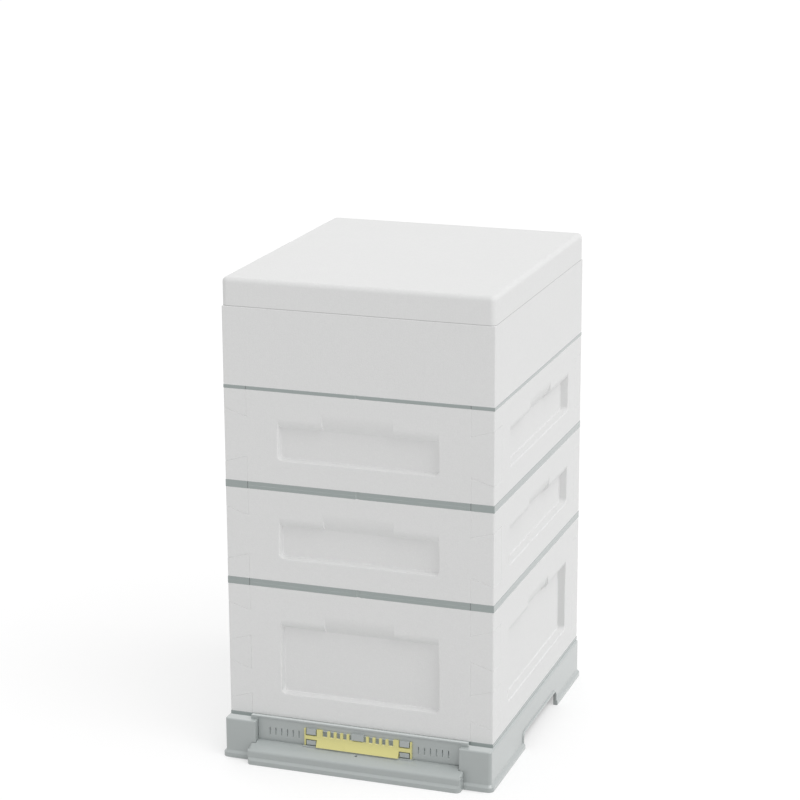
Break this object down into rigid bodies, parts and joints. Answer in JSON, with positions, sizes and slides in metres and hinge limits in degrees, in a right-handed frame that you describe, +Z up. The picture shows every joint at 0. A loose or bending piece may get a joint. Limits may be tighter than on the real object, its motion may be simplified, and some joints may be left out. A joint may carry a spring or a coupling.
{
  "type": "beehive",
  "caption": "Stacked foam beehive with plastic rails: mesh floor with gate and landing board, brood box, honey supers, syrup feeder and flat roof that lift off one by one.",
  "frame": {"origin": "on the ground, below the middle of the whole hive's outline", "axes": "+Z up through the stack, -Y out of the entrance, +X to the right of a viewer who faces the entrance"},
  "size_m": [0.484, 0.577, 0.837],
  "materials": {
    "foam": "white moulded bead foam, fine bead pattern",
    "rail_plastic": "grey-green moulded plastic, satin",
    "floor_plastic": "grey-green moulded plastic, satin with fine grain",
    "mesh_plastic": "pale grey moulded plastic",
    "yellow_clip": "pale yellow moulded plastic",
    "yellow_gate": "yellow moulded plastic",
    "screen_sheet": "off-white perforated sheet"
  },
  "bodies": {
    "floor": {"floor_base": "floor_plastic", "mesh_panel": "mesh_plastic", "panel_clips": "yellow_clip", "entrance_wall": "floor_plastic", "landing_board": "floor_plastic"},
    "brood_box": {"brood_front_wall": "foam", "brood_back_wall": "foam", "brood_left_wall": "foam", "brood_right_wall": "foam", "brood_front_top_rail": "rail_plastic", "brood_back_top_rail": "rail_plastic", "brood_left_top_rail": "rail_plastic", "brood_right_top_rail": "rail_plastic", "brood_front_foot_rail": "rail_plastic", "brood_back_foot_rail": "rail_plastic", "brood_left_foot_rail": "rail_plastic", "brood_right_foot_rail": "rail_plastic"},
    "lower_super": {"lower_front_wall": "foam", "lower_back_wall": "foam", "lower_left_wall": "foam", "lower_right_wall": "foam", "lower_front_top_rail": "rail_plastic", "lower_back_top_rail": "rail_plastic", "lower_left_top_rail": "rail_plastic", "lower_right_top_rail": "rail_plastic", "lower_front_foot_rail": "rail_plastic", "lower_back_foot_rail": "rail_plastic", "lower_left_foot_rail": "rail_plastic", "lower_right_foot_rail": "rail_plastic"},
    "upper_super": {"upper_front_wall": "foam", "upper_back_wall": "foam", "upper_left_wall": "foam", "upper_right_wall": "foam", "upper_front_top_rail": "rail_plastic", "upper_back_top_rail": "rail_plastic", "upper_left_top_rail": "rail_plastic", "upper_right_top_rail": "rail_plastic", "upper_front_foot_rail": "rail_plastic", "upper_back_foot_rail": "rail_plastic", "upper_left_foot_rail": "rail_plastic", "upper_right_foot_rail": "rail_plastic"},
    "feeder": {"feeder_body": "foam", "feeder_screen": "screen_sheet"},
    "roof": {"roof": "foam"},
    "gate": {"entrance_gate": "yellow_gate"}
  },
  "joints": [
    {"name": "brood_lift", "type": "slide", "parent": "floor", "child": "brood_box", "axis": [0, 0, 1], "range_m": [0, 0.091]},
    {"name": "lower_super_lift", "type": "slide", "parent": "brood_box", "child": "lower_super", "axis": [0, 0, 1], "range_m": [0, 0.065]},
    {"name": "upper_super_lift", "type": "slide", "parent": "lower_super", "child": "upper_super", "axis": [0, 0, 1], "range_m": [0, 0.0555]},
    {"name": "feeder_lift", "type": "slide", "parent": "upper_super", "child": "feeder", "axis": [0, 0, 1], "range_m": [0, 0.0725]},
    {"name": "roof_lift", "type": "slide", "parent": "feeder", "child": "roof", "axis": [0, 0, 1], "range_m": [0, 0.094]},
    {"name": "gate_pull", "type": "slide", "parent": "floor", "child": "gate", "axis": [0, -1, 0], "range_m": [0, 0.06]}
  ]
}
